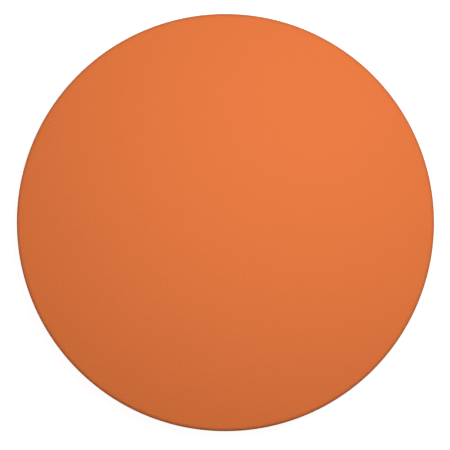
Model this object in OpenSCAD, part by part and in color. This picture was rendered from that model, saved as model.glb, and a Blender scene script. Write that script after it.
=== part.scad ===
// Soft flying disc: a shallow dome with a rounded edge and a turned-down rim.
// A moulded sandwich of grained skin, foam and lining makes the dome and the rim's wall.
// Binding tape wraps the trimmed edge and a flexible tube under it, and is sewn through.
// Millimetres, +Z up. The origin is on the ground, under the middle of the disc.

/* [Disc] */
// Diameter over the rounded edge
disc_d = 250; // [180:1:300]
// Radius of the sphere that the top face is part of
dome_r = 800; // [500:10:2000]
// Radius of the rounded edge, from the top face into the wall
edge_r = 3; // [2:0.1:6]
// Angle by which the wall leans inwards on its way down
wall_lean = 12; // [2:1:20]
// Radius of the corner inside the hollow
corner_r = 3; // [1.5:0.1:8]
// Height of bare lining between that corner and the binding
bare_wall = 2.2; // [0.5:0.1:15]

/* [Sandwich] */
// Thickness of the grained skin
skin_t = 0.9; // [0.6:0.1:1.5]
// Thickness of the foam
foam_t = 4; // [3:0.1:7]
// Thickness of the lining
lining_t = 0.6; // [0.4:0.1:1.2]

/* [Lip] */
// Wall thickness of the tube inside the lip, which is as thick as the sandwich
tube_wall = 1.5; // [0.8:0.1:1.8]
// Gap between the tube's two cut ends
tube_gap = 0.6; // [0.2:0.1:2]
// Length of the plug that joins the cut ends
plug_l = 30; // [16:1:60]
// Clearance around the plug in the tube
plug_clear = 0.05; // [0.02:0.01:0.2]
// Place of the joint around the disc, in degrees from +X
joint_at = 90; // [0:5:355]
// Thickness of the binding tape
tape_t = 0.8; // [0.5:0.1:1.2]
// Height of tape on each face of the wall
tape_lap = 5; // [4:0.1:10]
// Depth to which the tape is pressed flat where the lip stands on the ground
land_depth = 0.3; // [0.1:0.05:0.45]

/* [Stitching] */
// Thickness of the sewing thread
thread_d = 0.7; // [0.4:0.05:1]
// Length from one stitch to the next
stitch_pitch = 5; // [3:0.1:10]
// Gap between two stitches, where the thread passes through the wall
stitch_gap = 1.2; // [0.6:0.1:2]
// Distance of the seam from the tape's edge
seam_inset = 2; // [1:0.1:3]

/* [Hidden] */
$fn = 180;

// Steps along the dome and round each bend of the section, and sides of the round thread
dome_steps = 30;
bend_steps = 12;
thread_sides = 24;

wall_t = skin_t + foam_t + lining_t;
hollow_r = dome_r - wall_t;
tube_r = wall_t / 2;
bore_r = tube_r - tube_wall;
tape_r = tube_r + tape_t;

// The section is drawn in x (radius) and y (height).
// These are its directions out from the wall and up along it.
outward = [cos(wall_lean), -sin(wall_lean)];
upward = [sin(wall_lean), cos(wall_lean)];

// Centre of the rounded edge, seen from the dome's centre: both arcs share a tangent.
edge_x = disc_d / 2 - edge_r;
edge_from_dome = [edge_x, sqrt(pow(dome_r - edge_r, 2) - pow(edge_x, 2))];

// The corner in the hollow touches the inner dome and the inner wall.
// corner_drop is how far along the wall its centre lies below the edge's centre.
corner_out = edge_r - wall_t - corner_r;
beside_edge = edge_from_dome + outward * corner_out;
along_wall = beside_edge * upward;
corner_drop = along_wall
    - sqrt(pow(along_wall, 2) - beside_edge * beside_edge + pow(hollow_r - corner_r, 2));

// Length of the straight wall, from the edge's centre to the trimmed edge of the sandwich
wall_l = corner_drop + bare_wall + tape_lap;

// Heights follow from the ground up: tape, tube, wall, edge, dome.
tube_from_edge = outward * (edge_r - tube_r) - upward * (wall_l + tube_r);
edge_c = [edge_x, tape_r - land_depth - tube_from_edge.y];
dome_c = edge_c - edge_from_dome;
corner_c = edge_c + outward * corner_out - upward * corner_drop;
tube_c = edge_c + tube_from_edge;

tube_gap_deg = tube_gap / tube_c.x * 180 / PI;
plug_deg = plug_l / tube_c.x * 180 / PI;

// The seam lies on the tape, with the same stitches outside and inside the wall.
seam_out = tape_r + thread_d / 2;
seam_up = tube_r + tape_lap - seam_inset;
stitches = round(2 * PI * tube_c.x / stitch_pitch);
stitch_deg = 360 / stitches - stitch_gap / tube_c.x * 180 / PI;

// Points along an arc, without its first one
function arc(center, r, from, to, steps) = [
    for (i = [1:steps])
        let (angle = from + (to - from) * i / steps)
        center + r * [cos(angle), sin(angle)]
];

// One face of the sandwich in section: over the dome, round a bend and down to the trimmed edge
function face_line(cap_r, bend_c, bend_r) =
    let (
        meet = atan2(bend_c.y - dome_c.y, bend_c.x - dome_c.x),
        wall_top = bend_c + bend_r * outward,
        above_trim = (wall_top - edge_c) * upward + wall_l
    )
    concat(
        [dome_c + [0, cap_r]],
        arc(dome_c, cap_r, 90, meet, dome_steps),
        arc(bend_c, bend_r, meet, -wall_lean, bend_steps),
        [wall_top - upward * above_trim]
    );

function backwards(list) = [for (i = [len(list) - 1:-1:0]) list[i]];

// One layer of the sandwich, between two of its faces
module layer(above, below) {
    rotate_extrude()
        polygon(concat(above, backwards(below)));
}

skin_top = face_line(dome_r, edge_c, edge_r);
foam_top = face_line(dome_r - skin_t, edge_c, edge_r - skin_t);
lining_top = face_line(hollow_r + lining_t, corner_c, corner_r + lining_t);
hollow_top = face_line(hollow_r, corner_c, corner_r);

// Grained outer skin, over the top, round the edge and down the wall
module upper_skin() {
    color("#e77942")
        layer(skin_top, foam_top);
}

// Soft foam that gives the disc its form
module foam_shell() {
    color("#f3d9bd")
        layer(foam_top, lining_top);
}

// Knitted lining of the hollow
module lining() {
    color("#c9622f")
        layer(lining_top, hollow_top);
}

// The section's own frame at the lip: middle of the tube, x out from the wall, y up along it
module at_lip() {
    translate(tube_c)
        rotate(-wall_lean)
            children();
}

// Flexible tube that keeps the lip round and puts weight into the rim
module rim_tube() {
    color("#3a3836")
        rotate([0, 0, joint_at + tube_gap_deg / 2])
            rotate_extrude(angle = 360 - tube_gap_deg)
                translate(tube_c)
                    difference() {
                        circle(r = tube_r);
                        circle(r = bore_r);
                    }
}

// Curved plug that joins the tube's cut ends
module tube_plug() {
    color("#d8d4cc")
        rotate([0, 0, joint_at - plug_deg / 2])
            rotate_extrude(angle = plug_deg)
                translate(tube_c)
                    circle(r = bore_r - plug_clear);
}

// Tape in section, before it is pressed flat: round under the tube and up both faces of the wall
module tape_section() {
    difference() {
        circle(r = tape_r);
        circle(r = tube_r);
        translate([-tape_r, 0])
            square(2 * tape_r);
    }
    for (face = [-tape_r, tube_r])
        translate([face, 0])
            square([tape_t, tube_r + tape_lap]);
}

// Binding tape, with the flat land that the disc stands on
module edge_binding() {
    color("#da6f37")
        rotate_extrude()
            difference() {
                at_lip()
                    tape_section();
                translate([tube_c.x - tape_r, -tape_t])
                    square([2 * tape_r, tape_t]);
            }
}

// A ring of stitches on the tape, on one face of the wall
module stitch_ring(face_out) {
    seam = tube_c + outward * face_out + upward * seam_up;
    for (i = [0:stitches - 1])
        rotate([0, 0, i * 360 / stitches])
            rotate_extrude(angle = stitch_deg)
                translate(seam)
                    circle(d = thread_d, $fn = thread_sides);
}

// Needle thread, on the outside of the wall
module needle_thread() {
    color("#f2a06a")
        stitch_ring(seam_out);
}

// Bobbin thread, on the inside of the wall
module bobbin_thread() {
    color("#d97f47")
        stitch_ring(-seam_out);
}

upper_skin();
foam_shell();
lining();
rim_tube();
tube_plug();
edge_binding();
needle_thread();
bobbin_thread();
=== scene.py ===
"""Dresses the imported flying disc: grained skin, knitted lining, sewn tape, studio and camera."""

import math

import bpy
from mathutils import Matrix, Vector, noise


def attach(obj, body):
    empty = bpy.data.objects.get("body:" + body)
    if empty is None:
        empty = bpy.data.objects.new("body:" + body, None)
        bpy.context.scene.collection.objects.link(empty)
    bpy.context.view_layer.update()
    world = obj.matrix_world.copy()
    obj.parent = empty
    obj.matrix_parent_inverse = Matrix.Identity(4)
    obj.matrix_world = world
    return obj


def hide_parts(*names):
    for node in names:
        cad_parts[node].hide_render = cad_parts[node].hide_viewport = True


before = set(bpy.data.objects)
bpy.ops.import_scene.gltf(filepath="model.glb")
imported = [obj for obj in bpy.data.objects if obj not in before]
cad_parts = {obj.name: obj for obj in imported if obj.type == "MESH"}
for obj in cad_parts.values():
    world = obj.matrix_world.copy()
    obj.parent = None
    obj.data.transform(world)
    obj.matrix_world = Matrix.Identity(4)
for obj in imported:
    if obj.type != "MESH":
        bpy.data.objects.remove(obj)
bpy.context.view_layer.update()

# Sizes of the disc, in metres, as its solids have them: dome, rounded edge, wall and hollow
DISC_R = 0.125
DOME_R = 0.8
EDGE_R = 0.003
WALL_LEAN = math.radians(12)
CORNER_R = 0.003
BARE_WALL = 0.0022

# Layers of the sandwich
SKIN_T = 0.0009
FOAM_T = 0.004
LINING_T = 0.0006

# Tape round the lip, and the depth to which it is pressed flat where it stands
TAPE_T = 0.0008
TAPE_LAP = 0.005
LAND_DEPTH = 0.0003

# Thread, and the seam's distance from the tape's edge
THREAD_D = 0.0007
STITCH_PITCH = 0.005
STITCH_GAP = 0.0012
SEAM_INSET = 0.002

# The photograph's frame, in pixels, and the disc in it
PHOTO_SIDE = 450
PHOTO_DISC_R = 208.65
PHOTO_DISC_X = 225.44
PHOTO_DISC_Y = 222.60

# A section is drawn in x (radius) and y (height).
# These are its directions out from the wall and up along it.
OUTWARD = Vector((math.cos(WALL_LEAN), -math.sin(WALL_LEAN)))
UPWARD = Vector((math.sin(WALL_LEAN), math.cos(WALL_LEAN)))

WALL_T = SKIN_T + FOAM_T + LINING_T
HOLLOW_R = DOME_R - WALL_T
TUBE_R = WALL_T / 2
TAPE_R = TUBE_R + TAPE_T
TAPE_TOP = TUBE_R + TAPE_LAP
SEAM_UP = TAPE_TOP - SEAM_INSET

# The same chain of places as in the solids: dome, edge, corner of the hollow, tube in the lip
EDGE_X = DISC_R - EDGE_R
EDGE_FROM_DOME = Vector((EDGE_X, math.sqrt((DOME_R - EDGE_R) ** 2 - EDGE_X**2)))
CORNER_OUT = EDGE_R - WALL_T - CORNER_R
BESIDE_EDGE = EDGE_FROM_DOME + OUTWARD * CORNER_OUT
ALONG_WALL = BESIDE_EDGE.dot(UPWARD)
CORNER_DROP = ALONG_WALL - math.sqrt(
    ALONG_WALL**2 - BESIDE_EDGE.length_squared + (HOLLOW_R - CORNER_R) ** 2
)
WALL_L = CORNER_DROP + BARE_WALL + TAPE_LAP
TUBE_FROM_EDGE = OUTWARD * (EDGE_R - TUBE_R) - UPWARD * (WALL_L + TUBE_R)
EDGE_C = Vector((EDGE_X, TAPE_R - LAND_DEPTH - TUBE_FROM_EDGE.y))
DOME_C = EDGE_C - EDGE_FROM_DOME
CORNER_C = EDGE_C + OUTWARD * CORNER_OUT - UPWARD * CORNER_DROP
TUBE_C = EDGE_C + TUBE_FROM_EDGE
LIP_L = 2 * math.pi * TUBE_C.x
STITCHES = round(LIP_L / STITCH_PITCH)
STITCH_TURN = 2 * math.pi / STITCHES
FIRST_HOLE = -STITCH_GAP / 2 / TUBE_C.x

# Maps of a piece: its place on the flat cut, in metres, and its place on its own texture
FLAT_MAP = "flat"
TEXTURE_MAP = "OFBake"
TEXTURE_MARGIN = 0.01

# Faces that meet at a larger angle have a sharp edge between them
SHARP_ANGLE = math.radians(50)


# Mesh helpers


def add_object(name, data):
    made = bpy.data.objects.new(name, data)
    bpy.context.scene.collection.objects.link(made)
    return made


def make_piece(name, points, faces, material, maps):
    """A smooth mesh that rides on the disc. maps gives, by name, each face's corners in turn."""
    mesh = bpy.data.meshes.new(name)
    mesh.from_pydata(points, [], faces)
    mesh.shade_smooth()
    mesh.set_sharp_from_angle(angle=SHARP_ANGLE)
    mesh.materials.append(material)
    for map_name, corners in maps.items():
        layer = mesh.uv_layers.new(name=map_name)
        layer.uv.foreach_set("vector", [value for pair in corners for value in pair])
    piece = add_object(name, mesh)
    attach(piece, "root")
    return piece


def arc(centre, radius, start, end, steps):
    """Points along an arc in the section, without its first one."""
    angles = (start + (end - start) * i / steps for i in range(1, steps + 1))
    return [centre + radius * Vector((math.cos(a), math.sin(a))) for a in angles]


def line(start, end, steps):
    """Points along a straight line in the section, without its first one."""
    return [start.lerp(end, i / steps) for i in range(1, steps + 1)]


def turned(p, turn):
    """A point of the section, turned round the disc's axis."""
    return (p.x * math.cos(turn), p.x * math.sin(turn), p.y)


def strip(first, second):
    """Quads between two closed rings of as many points."""
    steps = [(k, (k + 1) % len(first)) for k in range(len(first))]
    return [[first[k], second[k], second[after], first[after]] for k, after in steps]


def smooth_step(value, low, high):
    """A smooth rise from 0 to 1 as value goes from low to high."""
    share = min(max((value - low) / (high - low), 0.0), 1.0)
    return share * share * (3 - 2 * share)


def bell(distance, width):
    """1 at no distance, falling to almost nothing at twice the width."""
    return math.exp(-((distance / width) ** 2))


def inside(share):
    """A share of a stretch of texture, kept off both its ends."""
    return TEXTURE_MARGIN + (1 - 2 * TEXTURE_MARGIN) * share


# Material helpers

# Noise hardly leaves this range.
NOISE_LOW = 0.3
NOISE_HIGH = 0.7


class Graph:
    """The node tree of a material or of the world, with short ways to add and join nodes."""

    def __init__(self, owner):
        self.owner = owner
        owner.use_nodes = True
        self.tree = owner.node_tree
        self.tree.nodes.clear()

    def put(self, socket, value):
        """Joins a socket to another one, or sets its value."""
        if isinstance(value, bpy.types.NodeSocket):
            self.tree.links.new(value, socket)
        else:
            socket.default_value = value

    def node(self, kind, settings=None, **inputs):
        """A node with its inputs by name, where an underscore stands for a space."""
        made = self.tree.nodes.new("ShaderNode" + kind)
        for name, value in (settings or {}).items():
            setattr(made, name, value)
        for name, value in inputs.items():
            self.put(made.inputs[name.replace("_", " ")], value)
        return made

    def in_order(self, kind, values, settings=None):
        """A node with its inputs in their own order."""
        made = self.node(kind, settings)
        for socket, value in zip(made.inputs, values):
            self.put(socket, value)
        return made

    def math(self, operation, *values):
        return self.in_order("Math", values, {"operation": operation}).outputs["Value"]

    def vector_math(self, operation, *values):
        return self.in_order("VectorMath", values, {"operation": operation})

    def ramp(self, value, low, high, to_low=0.0, to_high=1.0):
        """A smooth change from to_low to to_high as value goes from low to high."""
        smooth = {"interpolation_type": "SMOOTHSTEP"}
        ends = {"From_Min": low, "From_Max": high, "To_Min": to_low, "To_Max": to_high}
        return self.node("MapRange", smooth, Value=value, **ends).outputs["Result"]

    def blend(self, share, first, second):
        """A colour between two. The node also has numbers and vectors under the same names."""
        made = self.node("Mix", {"data_type": "RGBA"}, Factor=share)
        colours = [socket for socket in made.inputs if socket.type == "RGBA"]
        for socket, value in zip(colours, (first, second)):
            self.put(socket, value)
        return next(socket for socket in made.outputs if socket.type == "RGBA")

    def add(self, first, second, share):
        """A height with a share of a second one on top."""
        return self.math("MULTIPLY_ADD", second, share, first)

    def waves(self, value, length):
        """From 1 down to 0 and back over each length."""
        wave = self.math("COSINE", self.math("MULTIPLY", value, 2 * math.pi / length))
        return self.math("MULTIPLY_ADD", wave, 0.5, 0.5)

    def place(self):
        """Place in the disc's frame, in metres."""
        return self.node("TexCoord").outputs["Object"]

    def flat_place(self):
        """Place on the flat cut, in metres."""
        return self.node("UVMap", {"uv_map": FLAT_MAP}).outputs["UV"]

    def flat_ways(self):
        """Place on the flat cut, as one socket each way."""
        parts = self.node("SeparateXYZ", Vector=self.flat_place())
        return parts.outputs["X"], parts.outputs["Y"]

    def wander(self, place, size, reach):
        """A place that strays by up to about that reach, in waves of that size, both in metres."""
        waves = self.node("TexNoise", Vector=place, Scale=1 / size).outputs["Color"]
        moved = self.vector_math("MULTIPLY_ADD", waves, (reach, reach, reach), place)
        return moved.outputs["Vector"]

    def flat_cells(self, place, size, feature):
        """How far a place is from the middle (F1) or edge of its cell, as a share of the size."""
        settings = {"feature": feature, "voronoi_dimensions": "2D"}
        made = self.node("TexVoronoi", settings, Vector=place, Scale=1 / size)
        return made.outputs["Distance"]

    def noise(self, place, size):
        """Noise with features of about that size, in metres."""
        return self.node("TexNoise", Vector=place, Scale=1 / size).outputs["Fac"]

    def noise_ramp(self, value, to_low, to_high):
        """Noise spread from to_low to to_high."""
        return self.ramp(value, NOISE_LOW, NOISE_HIGH, to_low, to_high)

    def surface(self, tone, rough, height, depth, shine=0.5, fuzz=0.0):
        """A surface with bumps that deep, in metres, where height goes from 0 to 1."""
        bump = self.node("Bump", Strength=1.0, Distance=depth, Height=height)
        shader = self.node(
            "BsdfPrincipled",
            Base_Color=tone,
            Roughness=rough,
            Specular_IOR_Level=shine,
            Sheen_Weight=fuzz,
            Normal=bump.outputs["Normal"],
        )
        return self.finish(shader.outputs["BSDF"])

    def finish(self, shader, output="OutputMaterial"):
        self.node(output, Surface=shader)
        return self.owner


def new_material(name):
    return Graph(bpy.data.materials.new(name))


def colour(red, green, blue):
    return (red, green, blue, 1.0)


def grey(level):
    return colour(level, level, level)


# Materials

# Colours in linear light
# Skin colour in its grooves: painted shade, with some dirt
SKIN_GROOVE_DIRT_AND_SHADE = colour(0.805, 0.1905, 0.049)
SKIN_DARK = colour(0.81, 0.194, 0.05)
SKIN_LIGHT = colour(0.835, 0.202, 0.053)
FOAM_DARK = colour(0.86, 0.66, 0.47)
FOAM_LIGHT = colour(0.93, 0.74, 0.55)
# Knit colour in the gaps between its loops: painted shade
KNIT_SHADED_IN_GAPS = colour(0.4, 0.072, 0.013)
KNIT_ON_TOP = colour(0.62, 0.13, 0.03)
# Tape colour at the feet of its ribs: painted shade
TAPE_SHADED_IN_GAPS = colour(0.42, 0.082, 0.016)
TAPE_DARK = colour(0.66, 0.15, 0.034)
TAPE_LIGHT = colour(0.74, 0.172, 0.042)
NEEDLE_DARK = colour(0.8, 0.29, 0.1)
NEEDLE_LIGHT = colour(0.92, 0.38, 0.16)
BOBBIN_DARK = colour(0.6, 0.17, 0.047)
BOBBIN_LIGHT = colour(0.74, 0.235, 0.073)
RUBBER_DARK = colour(0.036, 0.034, 0.032)
RUBBER_LIGHT = colour(0.05, 0.046, 0.043)
PLUG_DARK = colour(0.67, 0.64, 0.58)
PLUG_LIGHT = colour(0.71, 0.68, 0.62)

# Pebbles of the skin: their size in metres, and shares of it or of their height
GRAIN = 0.0018
GRAIN_WAVE = 1.5
GRAIN_STRAY = 0.7
GROOVE_WIDTH = 0.2
CROWN_WIDTH = 0.8
GROOVE_SHARE = 0.6
PORE_SHARE = 0.3

# Loops of the knit: a column's width and a loop's height in metres, and shares of them
KNIT_WALE = 0.0013
KNIT_COURSE = 0.001
LOOP_SLANT = 1.5
LOOP_RELIEF = 0.6
COLUMN_FULL = 0.28
COLUMN_HALF = 0.5
CREASE_WIDTH = 0.14
CREASE_LEVEL = 0.55
KNIT_FIBRE_SHARE = 0.25

# Ribs and weft of the tape in metres, and shares of a rib's height
TAPE_RIB = 0.0009
TAPE_WEFT = 0.0005
RIB_ROUNDING = 0.6
WEFT_SHARE = 0.35
TAPE_FIBRE_SHARE = 0.2
RIB_FOOT = 0.1


def skin_material():
    """Coated skin with a leather grain: rounded pebbles, each with a fine groove round it."""
    g = new_material("grained_skin")
    place = g.place()
    uneven = g.wander(g.flat_place(), GRAIN_WAVE * GRAIN, GRAIN_STRAY * GRAIN)
    groove = g.ramp(g.flat_cells(uneven, GRAIN, "DISTANCE_TO_EDGE"), 0.0, GROOVE_WIDTH)
    crown = g.ramp(g.flat_cells(uneven, GRAIN, "F1"), 0.0, CROWN_WIDTH, 1.0, 0.0)
    pebble = g.add(g.math("MULTIPLY", crown, 1 - GROOVE_SHARE), groove, GROOVE_SHARE)
    height = g.add(pebble, g.noise(place, size=0.0004), PORE_SHARE)
    face = g.blend(g.noise(place, size=0.022), SKIN_DARK, SKIN_LIGHT)
    # Darker in the grooves: painted shade, with some dirt
    tone = g.blend(pebble, SKIN_GROOVE_DIRT_AND_SHADE, face)
    rough = g.ramp(pebble, 0.0, 1.0, to_low=0.8, to_high=0.7)
    return g.surface(tone, rough, height, depth=0.00008, shine=0.12)


def foam_material():
    """Closed-cell foam."""
    g = new_material("foam")
    place = g.place()
    cells = g.node("TexVoronoi", Vector=place, Scale=1 / 0.0006)
    tone = g.blend(g.noise(place, size=0.004), FOAM_DARK, FOAM_LIGHT)
    return g.surface(tone, 0.9, cells.outputs["Distance"], depth=0.0002)


def knit_material():
    """Fine jersey: columns of small V-shaped loops."""
    g = new_material("lining_knit")
    across, along = g.flat_ways()
    from_middle = g.math("PINGPONG", g.math("DIVIDE", across, KNIT_WALE), COLUMN_HALF)
    slanted = g.add(along, from_middle, LOOP_SLANT * KNIT_COURSE)
    loop = g.math("MULTIPLY_ADD", g.waves(slanted, KNIT_COURSE), LOOP_RELIEF, 1 - LOOP_RELIEF)
    column = g.ramp(from_middle, COLUMN_FULL, COLUMN_HALF, 1.0, 0.0)
    crease = g.ramp(from_middle, 0.0, CREASE_WIDTH, CREASE_LEVEL, 1.0)
    height = g.math("MULTIPLY", g.math("MULTIPLY", column, crease), loop)
    fibre = g.noise(g.place(), size=0.00025)
    # Darker where the knit is low: painted shade in the gaps
    tone = g.blend(height, KNIT_SHADED_IN_GAPS, KNIT_ON_TOP)
    rough = g.noise_ramp(fibre, to_low=0.75, to_high=0.95)
    return g.surface(tone, rough, g.add(height, fibre, KNIT_FIBRE_SHARE), depth=0.00015, fuzz=0.1)


def tape_material():
    """Ribbed woven tape."""
    g = new_material("binding_tape")
    along, across = g.flat_ways()
    rib = g.math("POWER", g.waves(along, TAPE_RIB), RIB_ROUNDING)
    height = g.add(rib, g.waves(across, TAPE_WEFT), WEFT_SHARE)
    fibre = g.noise(g.place(), size=0.0002)
    face = g.blend(g.noise(g.place(), size=0.012), TAPE_DARK, TAPE_LIGHT)
    # Darker at the feet of the ribs: painted shade
    tone = g.blend(g.ramp(height, RIB_FOOT, 1.0), TAPE_SHADED_IN_GAPS, face)
    rough = g.noise_ramp(fibre, to_low=0.7, to_high=0.9)
    return g.surface(tone, rough, g.add(height, fibre, TAPE_FIBRE_SHARE), depth=0.00012, fuzz=0.1)


def yarn_material(name, dark, light):
    """Spun thread, with fine fibres."""
    g = new_material(name)
    fibre = g.noise(g.place(), size=0.00012)
    tone = g.blend(g.noise_ramp(fibre, 0.0, 1.0), dark, light)
    rough = g.noise_ramp(fibre, to_low=0.5, to_high=0.7)
    return g.surface(tone, rough, fibre, depth=0.00003, fuzz=0.3)


def rubber_material():
    """Black rubber with a fine uneven surface."""
    g = new_material("tube_rubber")
    place = g.place()
    uneven = g.noise(place, size=0.0006)
    tone = g.blend(g.noise(place, size=0.01), RUBBER_DARK, RUBBER_LIGHT)
    rough = g.noise_ramp(uneven, to_low=0.5, to_high=0.65)
    return g.surface(tone, rough, uneven, depth=0.00003)


def plug_material():
    """Moulded plastic with a fine spark-eroded finish."""
    g = new_material("plug_plastic")
    place = g.place()
    spark = g.noise(place, size=0.0003)
    tone = g.blend(g.noise(place, size=0.005), PLUG_DARK, PLUG_LIGHT)
    rough = g.noise_ramp(spark, to_low=0.45, to_high=0.6)
    return g.surface(tone, rough, spark, depth=0.00002)


# The sandwich: skin, foam and lining.
# Each face is a square grid, bent round, with rings from its rim down to the trimmed edge.

SHEET_CELLS = 90
SHEET_GRID_R = 0.108
DOME_STEPS = 6
BEND_STEPS = 14
WALL_STEPS = 8

# How far the skin rises and falls, over what length, and how far from the edge that fades
SKIN_SWELL = 0.00005
SWELL_LENGTH = 0.03
SWELL_FADE = 0.02

# Middle and radius that each face of a layer, and the trim beside it, take up on the texture
SHOWN_DISC = (0.5, 0.48)
TRIM_RING = (0.5, 0.49)
HIDDEN_DISC = (0.07, 0.06)

# Faces of the layers: radius of the dome, centre and radius of the bend
OVER_SKIN = (DOME_R, EDGE_C, EDGE_R)
UNDER_SKIN = (DOME_R - SKIN_T, EDGE_C, EDGE_R - SKIN_T)
OVER_LINING = (HOLLOW_R + LINING_T, CORNER_C, CORNER_R + LINING_T)
UNDER_LINING = (HOLLOW_R, CORNER_C, CORNER_R)


def grid_point(a, b):
    """A point of the square from -1 to 1 each way, bent into the unit circle."""
    if a == 0 and b == 0:
        return (0.0, 0.0)
    if abs(a) > abs(b):
        turn = math.pi / 4 * b / a
        return (a * math.cos(turn), a * math.sin(turn))
    turn = math.pi / 4 * a / b
    return (b * math.sin(turn), b * math.cos(turn))


def grid_rim(cells):
    """The grid's rim as (row, column), once round against the clock from its lower left corner."""
    return (
        [(0, i) for i in range(cells)]
        + [(j, cells) for j in range(cells)]
        + [(cells, cells - i) for i in range(cells)]
        + [(cells - j, 0) for j in range(cells)]
    )


def face_outline(cap_r, bend_c, bend_r, from_r):
    """One face in section from the grid's rim outwards: dome, bend, wall down to the trim."""
    start = math.acos(from_r / cap_r)
    meet = math.atan2(bend_c.y - DOME_C.y, bend_c.x - DOME_C.x)
    wall_top = bend_c + bend_r * OUTWARD
    trim = wall_top - UPWARD * ((wall_top - EDGE_C).dot(UPWARD) + WALL_L)
    return (
        arc(DOME_C, cap_r, start, meet, DOME_STEPS)
        + arc(bend_c, bend_r, meet, -WALL_LEAN, BEND_STEPS)
        + line(wall_top, trim, WALL_STEPS)
    )


class RoundSheet:
    """A closed layer of the sandwich. Its reach is the radius of its larger face, laid flat."""

    def __init__(self, cells, grid_r):
        self.cells = cells
        self.grid_r = grid_r
        self.reach = 0.0
        self.points = []
        self.flat = []
        self.spread = []
        self.shown = []
        self.faces = []

    def add_grid(self, cap_r):
        """Adds the points of the grid on a face's dome and gives its quads."""
        first = len(self.points)
        span = self.cells + 1
        for j in range(span):
            for i in range(span):
                x, y = grid_point(2 * i / self.cells - 1, 2 * j / self.cells - 1)
                x *= self.grid_r
                y *= self.grid_r
                self.points.append((x, y, DOME_C.y + math.sqrt(cap_r**2 - x * x - y * y)))
                self.flat.append((x, y))
        lows = [first + j * span + i for j in range(self.cells) for i in range(self.cells)]
        return [[low, low + 1, low + span + 1, low + span] for low in lows]

    def add_face(self, cap_r, bend_c, bend_r, upper, shown):
        """Adds one face and gives the points of its trimmed edge."""
        first = len(self.points)
        quads = self.add_grid(cap_r)
        ring = [first + row * (self.cells + 1) + column for row, column in grid_rim(self.cells)]
        turns = [math.atan2(self.points[k][1], self.points[k][0]) for k in ring]
        reach = self.grid_r
        at = Vector((self.grid_r, DOME_C.y + math.sqrt(cap_r**2 - self.grid_r**2)))
        for p in face_outline(cap_r, bend_c, bend_r, self.grid_r):
            reach += (p - at).length
            at = p
            outer = list(range(len(self.points), len(self.points) + len(ring)))
            self.points += [turned(p, turn) for turn in turns]
            self.flat += [(reach * math.cos(turn), reach * math.sin(turn)) for turn in turns]
            quads += strip(ring, outer)
            ring = outer
        self.faces += quads if upper else [quad[::-1] for quad in quads]
        self.spread += [(x / reach, y / reach) for x, y in self.flat[first:]]
        self.shown += [shown] * (len(self.points) - first)
        self.reach = max(self.reach, reach)
        return ring

    def add_trim(self, upper_edge, lower_edge):
        self.faces += strip(upper_edge, lower_edge)

    def on_texture(self, face):
        """Places of a quad's corners on the texture. The trim's quads have corners on both faces."""
        hidden = TRIM_RING if any(self.shown[k] for k in face) else HIDDEN_DISC
        places = []
        for k in face:
            middle, radius = SHOWN_DISC if self.shown[k] else hidden
            places.append([middle + radius * value for value in self.spread[k]])
        return places

    def piece(self, name, material, slot):
        maps = {
            FLAT_MAP: [self.flat[k] for face in self.faces for k in face],
            TEXTURE_MAP: [place for face in self.faces for place in self.on_texture(face)],
        }
        return make_piece(name, self.points, self.faces, material, maps)


def make_layer(name, material, slot, upper, lower, upper_shows=True):
    """One layer between two faces, and its reach."""
    layer = RoundSheet(SHEET_CELLS, SHEET_GRID_R)
    upper_edge = layer.add_face(*upper, True, upper_shows)
    lower_edge = layer.add_face(*lower, False, not upper_shows)
    layer.add_trim(upper_edge, lower_edge)
    return layer.piece(name, material, slot), layer.reach


def swell(piece):
    """Lets the upper face rise and fall a little, as a skin glued on foam does."""
    upper = [vertex for vertex in piece.data.vertices if vertex.normal.z > 0]
    for vertex in upper:
        out = math.hypot(vertex.co.x, vertex.co.y)
        hold = smooth_step(out, EDGE_X, EDGE_X - SWELL_FADE)
        vertex.co.z += SKIN_SWELL * hold * noise.noise(vertex.co / SWELL_LENGTH)


def make_sandwich():
    foam, _ = make_layer("foam", foam_material(), "foam", UNDER_SKIN, OVER_LINING)
    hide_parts("foam_shell")

    skin, skin_reach = make_layer("skin", skin_material(), "grained_skin", OVER_SKIN, UNDER_SKIN)
    swell(skin)
    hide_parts("upper_skin")

    lining, lining_reach = make_layer(
        "knit_lining", knit_material(), "lining_knit", OVER_LINING, UNDER_LINING, upper_shows=False
    )
    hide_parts("lining")


# The lip: tape round the tube and up both faces of the wall, with a lockstitch through it.
# Its section is drawn from the tube's middle, in x out from the wall and y up along it.

# Rows of the tape for each stitch, and steps of its section on the shown and the hidden side
ROWS_PER_STITCH = 8
TIP_STEPS = 4
SEAM_STEPS = 9
LEG_STEPS = 4
ROUND_STEPS = 18
HIDDEN_STEPS = 3
HIDDEN_ROUND_STEPS = 10

# How far below the seam the section's close steps go, and how deep and wide the thread pulls in
BELOW_SEAM = 0.0012
GROOVE_DEPTH = 0.00012
GROOVE_REACH = 0.0006
HOLE_DEPTH = 0.0003
HOLE_REACH = 0.0007

# How far the tape's edges wave between the stitches and wander round the disc
EDGE_WAVE = 0.00008
EDGE_WANDER = 0.00015
WANDER_ROUND = 9
WANDER_APART = 3.7

# The tape's lapped end: its place, its thickness, its step, and where it thins out
LAP_AT = math.radians(120)
LAP_T = 0.0006
LAP_STEP = 0.0003
LAP_ROWS = 6
LAP_ROW = 0.0001
LAP_FLAT = 0.009
LAP_END = 0.018

# The tape lies on its texture in bands, mostly taken up by the side that shows
TEXTURE_BANDS = 6
BAND_SHOWN = 0.92


def along_lap(turn):
    """Length along the tape from the edge of its lapped end."""
    return ((turn - LAP_AT + math.pi) % (2 * math.pi) - math.pi) * TUBE_C.x


def lap_lift(turn):
    """How far the lapped end stands off the tape under it."""
    along = along_lap(turn)
    return LAP_T * smooth_step(along, 0, LAP_STEP) * (1 - smooth_step(along, LAP_FLAT, LAP_END))


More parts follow.
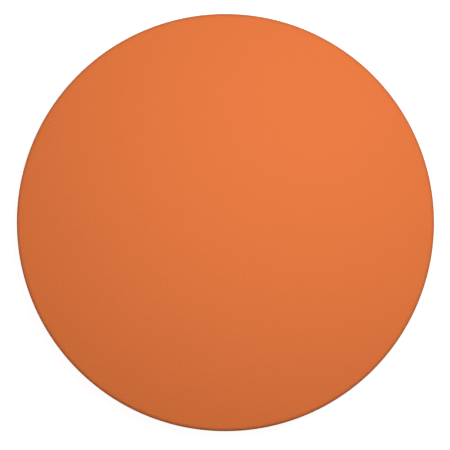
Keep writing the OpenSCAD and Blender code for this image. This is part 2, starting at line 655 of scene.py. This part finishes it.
def from_hole(turn):
    """Distance along the seam to the nearest stitch hole."""
    phase = ((turn - FIRST_HOLE) / STITCH_TURN) % 1
    return min(phase, 1 - phase) * STITCH_PITCH


def lip_point(p, turn):
    """A point of the lip's section in place, kept above the ground."""
    at = TUBE_C + OUTWARD * p.x + UPWARD * p.y
    at.y = max(at.y, 0)
    return turned(at, turn)


def tape_leg(side):
    """The shown side of the tape on one face of the wall, from its turned edge down."""
    half = TAPE_T / 2
    face = Vector((side, 0))
    edge_c = Vector((side * (TUBE_R + half), TAPE_TOP - half))
    high = Vector((side * TAPE_R, TAPE_TOP - half))
    low = Vector((side * TAPE_R, SEAM_UP - BELOW_SEAM))
    foot = Vector((side * TAPE_R, 0))
    tip = arc(edge_c, half, math.pi / 2, math.pi / 2 - side * math.pi / 2, TIP_STEPS)
    leg = [(p, (p - edge_c).normalized()) for p in tip]
    leg += [(p, face) for p in line(high, low, SEAM_STEPS)]
    leg += [(p, face) for p in line(low, foot, LEG_STEPS)]
    return leg


def tape_section():
    """The tape's section, once round, as points and the direction in which each gives, if it shows."""
    half = TAPE_T / 2
    leg_top = TAPE_TOP - half
    middle = Vector((0, 0))
    bottom = arc(middle, TAPE_R, 0, -math.pi, ROUND_STEPS)[:-1]
    shown = tape_leg(1) + [(p, p.normalized()) for p in bottom] + tape_leg(-1)[::-1]
    inner_tip_c = Vector((-TUBE_R - half, leg_top))
    outer_tip_c = Vector((TUBE_R + half, leg_top))
    hidden = arc(inner_tip_c, half, math.pi / 2, 0, HIDDEN_STEPS)
    hidden += line(Vector((-TUBE_R, leg_top)), Vector((-TUBE_R, 0)), HIDDEN_STEPS)
    hidden += arc(middle, TUBE_R, -math.pi, 0, HIDDEN_ROUND_STEPS)
    hidden += line(Vector((TUBE_R, 0)), Vector((TUBE_R, leg_top)), HIDDEN_STEPS)
    hidden += arc(outer_tip_c, half, math.pi, math.pi / 2, HIDDEN_STEPS)
    return shown + [(p, None) for p in hidden]


def tape_give(p, gives, turn):
    """A point of the tape where the thread pulls it in and its lapped end lifts it."""
    if gives is None:
        return p
    near = bell(p.y - SEAM_UP, GROOVE_REACH)
    pulled = near * (GROOVE_DEPTH + HOLE_DEPTH * bell(from_hole(turn), HOLE_REACH))
    high = smooth_step(p.y, SEAM_UP, TAPE_TOP)
    side = 1 if p.x > 0 else -1
    round_x = WANDER_ROUND * math.cos(turn)
    round_y = WANDER_ROUND * math.sin(turn)
    wander = noise.noise(Vector((round_x, round_y, side * WANDER_APART)))
    wave = math.cos(2 * math.pi * from_hole(turn) / STITCH_PITCH)
    drop = high * (EDGE_WAVE * wave + EDGE_WANDER * wander)
    return p + gives * (lap_lift(turn) - pulled) - Vector((0, drop))


def tape_turns():
    """Turns of the tape's rows: even ones, and some close together at the lapped edge."""
    rows = STITCHES * ROWS_PER_STITCH
    even = [FIRST_HOLE + 2 * math.pi * i / rows for i in range(rows)]
    spare = [turn for turn in even if not -LAP_STEP < along_lap(turn) < 2 * LAP_STEP]
    close = [LAP_AT + LAP_ROW * (i - 1) / TUBE_C.x for i in range(LAP_ROWS)]
    return sorted(spare + close)


def band_heights(across, shown_w):
    """Heights in a band of texture for widths across the tape, first shown and then hidden."""
    hidden_w = across[-1] - shown_w
    shown = [min(w / shown_w, 1) for w in across]
    hidden = [max(w - shown_w, 0) / hidden_w for w in across]
    return [inside(BAND_SHOWN * a + (1 - BAND_SHOWN) * b) for a, b in zip(shown, hidden)]


def make_tape():
    section = tape_section()
    turns = tape_turns()
    points = [
        lip_point(tape_give(p, gives, turn), turn) for turn in turns for p, gives in section
    ]
    around = len(section)
    across = [0.0]
    for k in range(around):
        across.append(across[-1] + (section[(k + 1) % around][0] - section[k][0]).length)
    shown_w = across[sum(gives is not None for _, gives in section)]
    heights = band_heights(across, shown_w)
    along = [(turn - turns[0]) * TUBE_C.x for turn in turns] + [LIP_L]
    faces = []
    flat = []
    texture = []
    for i in range(len(turns)):
        after = (i + 1) % len(turns)
        band = int(TEXTURE_BANDS * along[i] / LIP_L)
        for k in range(around):
            beside = (k + 1) % around
            corners = ((i, k), (i, beside), (after, beside), (after, k))
            faces.append([row * around + column for row, column in corners])
            for row, edge in ((i, k), (i, k + 1), (i + 1, k + 1), (i + 1, k)):
                share = inside(TEXTURE_BANDS * along[row] / LIP_L - band)
                flat.append((along[row], across[edge]))
                texture.append((share, (band + heights[edge]) / TEXTURE_BANDS))
    maps = {FLAT_MAP: flat, TEXTURE_MAP: texture}
    return make_piece("tape", points, faces, tape_material(), maps)


# A stitch is three plies, twisted. RISE, DIP and the plies' sizes are shares of the thread.
PLIES = 3
PLY_SIDES = 6
PLY_STEPS = 24
PLY_R = THREAD_D * 0.28
PLY_OFF = THREAD_D * 0.24
TWIST = 0.0019
RISE = 0.38
DIP = 1.15
DIP_POWER = 8
SLANT = 0.00009

# Each ply is unrolled into a cell of its own on the texture
TEXTURE_COLUMNS = 16
TEXTURE_ROWS = math.ceil(STITCHES * PLIES / TEXTURE_COLUMNS)


def ply_points(stitch, ply, side):
    """Rings of points along one ply, which goes down into the stitch's holes at both ends."""
    points = []
    for step in range(PLY_STEPS + 1):
        share = step / PLY_STEPS
        turn = FIRST_HOLE + (stitch + share) * STITCH_TURN
        off = THREAD_D * (RISE - DIP * abs(2 * share - 1) ** DIP_POWER)
        spin = 2 * math.pi * (ply / PLIES + share * STITCH_PITCH / TWIST)
        middle = Vector((TAPE_R + lap_lift(turn) + off, SEAM_UP + SLANT * (2 * share - 1)))
        middle += PLY_OFF * Vector((math.cos(spin), math.sin(spin)))
        for k in range(PLY_SIDES):
            angle = 2 * math.pi * k / PLY_SIDES
            p = middle + PLY_R * Vector((math.cos(angle), math.sin(angle)))
            p.x *= side
            points.append(lip_point(p, turn))
    return points


def ply_on_texture(number, share, side):
    """Place on the texture of a point along and around one ply."""
    row, column = divmod(number, TEXTURE_COLUMNS)
    along = (column + inside(share)) / TEXTURE_COLUMNS
    return (along, (row + inside(side / PLY_SIDES)) / TEXTURE_ROWS)


def ply_faces(first, number):
    """Faces of one ply and their corners on the texture. Its ends are hidden in the holes."""
    rings = [
        [first + s * PLY_SIDES + k for k in range(PLY_SIDES)] for s in range(PLY_STEPS + 1)
    ]
    faces = []
    places = []
    for s, (before, after) in enumerate(zip(rings, rings[1:])):
        faces += strip(before, after)
        for k in range(PLY_SIDES):
            corners = ((s, k), (s + 1, k), (s + 1, k + 1), (s, k + 1))
            places.append([ply_on_texture(number, step / PLY_STEPS, at) for step, at in corners])
    for end, ring in ((0, rings[0]), (PLY_STEPS - 1, rings[-1][::-1])):
        faces.append(ring)
        shares = [(end + k % 2) / PLY_STEPS for k in range(PLY_SIDES)]
        places.append([ply_on_texture(number, share, k) for k, share in enumerate(shares)])
    return faces, places


def make_stitches(name, side, material):
    """Stitches on one face of the tape: side is 1 outside the wall and -1 inside it."""
    points = []
    faces = []
    places = []
    for number in range(STITCHES * PLIES):
        new_faces, new_places = ply_faces(len(points), number)
        faces += new_faces
        places += new_places
        points += ply_points(*divmod(number, PLIES), side)
    if side == -1:
        faces = [face[::-1] for face in faces]
        places = [corners[::-1] for corners in places]
    maps = {TEXTURE_MAP: [place for corners in places for place in corners]}
    return make_piece(name, points, faces, material, maps)


def make_lip():
    tape = make_tape()
    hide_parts("edge_binding")

    needle_yarn = yarn_material("needle_yarn", NEEDLE_DARK, NEEDLE_LIGHT)
    needle = make_stitches("needle_stitches", 1, needle_yarn)
    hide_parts("needle_thread")

    bobbin_yarn = yarn_material("bobbin_yarn", BOBBIN_DARK, BOBBIN_LIGHT)
    bobbin = make_stitches("bobbin_stitches", -1, bobbin_yarn)
    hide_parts("bobbin_thread")


def paint(node, material):
    """Gives one of the solids that stay its material."""
    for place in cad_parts[node].material_slots:
        place.material = material


# Camera, straight above the disc, as far away as makes the outline as wide as in the photograph

LENS = 180.0
SENSOR = 36.0


def make_camera():
    data = bpy.data.cameras.new("camera")
    data.lens = LENS
    data.sensor_width = SENSOR
    camera = add_object("camera", data)
    bpy.context.scene.camera = camera
    focal_px = PHOTO_SIDE * LENS / SENSOR
    lean = math.atan(PHOTO_DISC_R / focal_px)
    above_edge = (EDGE_X + EDGE_R / math.cos(lean)) / math.tan(lean)
    metres_per_px = above_edge / focal_px
    camera.location = (
        (PHOTO_SIDE / 2 - PHOTO_DISC_X) * metres_per_px,
        (PHOTO_DISC_Y - PHOTO_SIDE / 2) * metres_per_px,
        EDGE_C.y + above_edge,
    )


# Studio: a soft lamp up and to the right, a weak low one on the left, dim surroundings, pale floor

LAMP_AT = Vector((0.112, 0.136, 0.6))
LAMP_SIZE = 0.25
LAMP_WATTS = 3.46
FILL_AT = Vector((-1.49, 0.0, 0.22))
FILL_SIZE = 0.4
FILL_WATTS = 3.0
AMBIENT = 0.02
WHITE = 1.0

# The floor, as the camera sees it, glows less near the disc and least under its edge, as a painted
# shadow, and is lit besides.
FLOOR_HALF = 6.0
FLOOR_BOUNCE = 0.75
FLOOR_LIT = 0.25
FLOOR_GLOW_SHADOWED_UNDER = 0.6
FLOOR_GLOW_SHADOWED_NEAR = 0.96
FLOOR_GLOW_FAR = 1.0
FLOOR_FAR = 6 * DISC_R


def seen_directly(g):
    """1 for rays from the camera, a mirror or glass, and 0 for light from surface to surface."""
    path = g.node("LightPath")
    seen = g.math("MAXIMUM", path.outputs["Is Camera Ray"], path.outputs["Is Glossy Ray"])
    return g.math("MAXIMUM", seen, path.outputs["Is Transmission Ray"])


def floor_material():
    g = new_material("floor")
    away = g.vector_math("LENGTH", g.place()).outputs["Value"]
    # Painted shadow: the glow is lowest under the disc's overhang and rises away from the disc
    under = g.ramp(away, TUBE_C.x, DISC_R, FLOOR_GLOW_SHADOWED_UNDER, FLOOR_GLOW_SHADOWED_NEAR)
    beyond = g.ramp(away, DISC_R, FLOOR_FAR, 0.0, FLOOR_GLOW_FAR - FLOOR_GLOW_SHADOWED_NEAR)
    glow = g.node("Emission", Color=grey(WHITE), Strength=g.math("ADD", under, beyond))
    lit = g.node("BsdfDiffuse", Color=grey(FLOOR_LIT))
    shown = g.in_order("AddShader", (glow.outputs["Emission"], lit.outputs["BSDF"]))
    dull = g.node("BsdfDiffuse", Color=grey(FLOOR_BOUNCE))
    shaders = (dull.outputs["BSDF"], shown.outputs["Shader"])
    mix = g.in_order("MixShader", (seen_directly(g), *shaders))
    return g.finish(mix.outputs["Shader"])


def make_floor():
    mesh = bpy.data.meshes.new("floor")
    corners = [(x * FLOOR_HALF, y * FLOOR_HALF, 0) for x, y in ((-1, -1), (1, -1), (1, 1), (-1, 1))]
    mesh.from_pydata(corners, [], [[0, 1, 2, 3]])
    mesh.materials.append(floor_material())
    add_object("floor", mesh)


def make_world():
    g = Graph(bpy.data.worlds.new("studio"))
    level = g.ramp(seen_directly(g), 0.0, 1.0, AMBIENT, WHITE)
    sky = g.node("Background", Color=grey(WHITE), Strength=level)
    bpy.context.scene.world = g.finish(sky.outputs["Background"], "OutputWorld")


def make_lamp(name, place, size, watts):
    """A round soft lamp that faces the disc."""
    data = bpy.data.lights.new(name, "AREA")
    data.shape = "DISK"
    data.size = size
    data.energy = watts
    lamp = add_object(name, data)
    lamp.location = place
    lamp.rotation_euler = (-place).to_track_quat("-Z", "Y").to_euler()
    lamp.visible_camera = False


make_sandwich()
make_lip()
paint("rim_tube", rubber_material())
paint("tube_plug", plug_material())
make_camera()
make_floor()
make_world()
make_lamp("lamp", LAMP_AT, LAMP_SIZE, LAMP_WATTS)
make_lamp("fill", FILL_AT, FILL_SIZE, FILL_WATTS)
bpy.context.scene.view_settings.view_transform = "Standard"
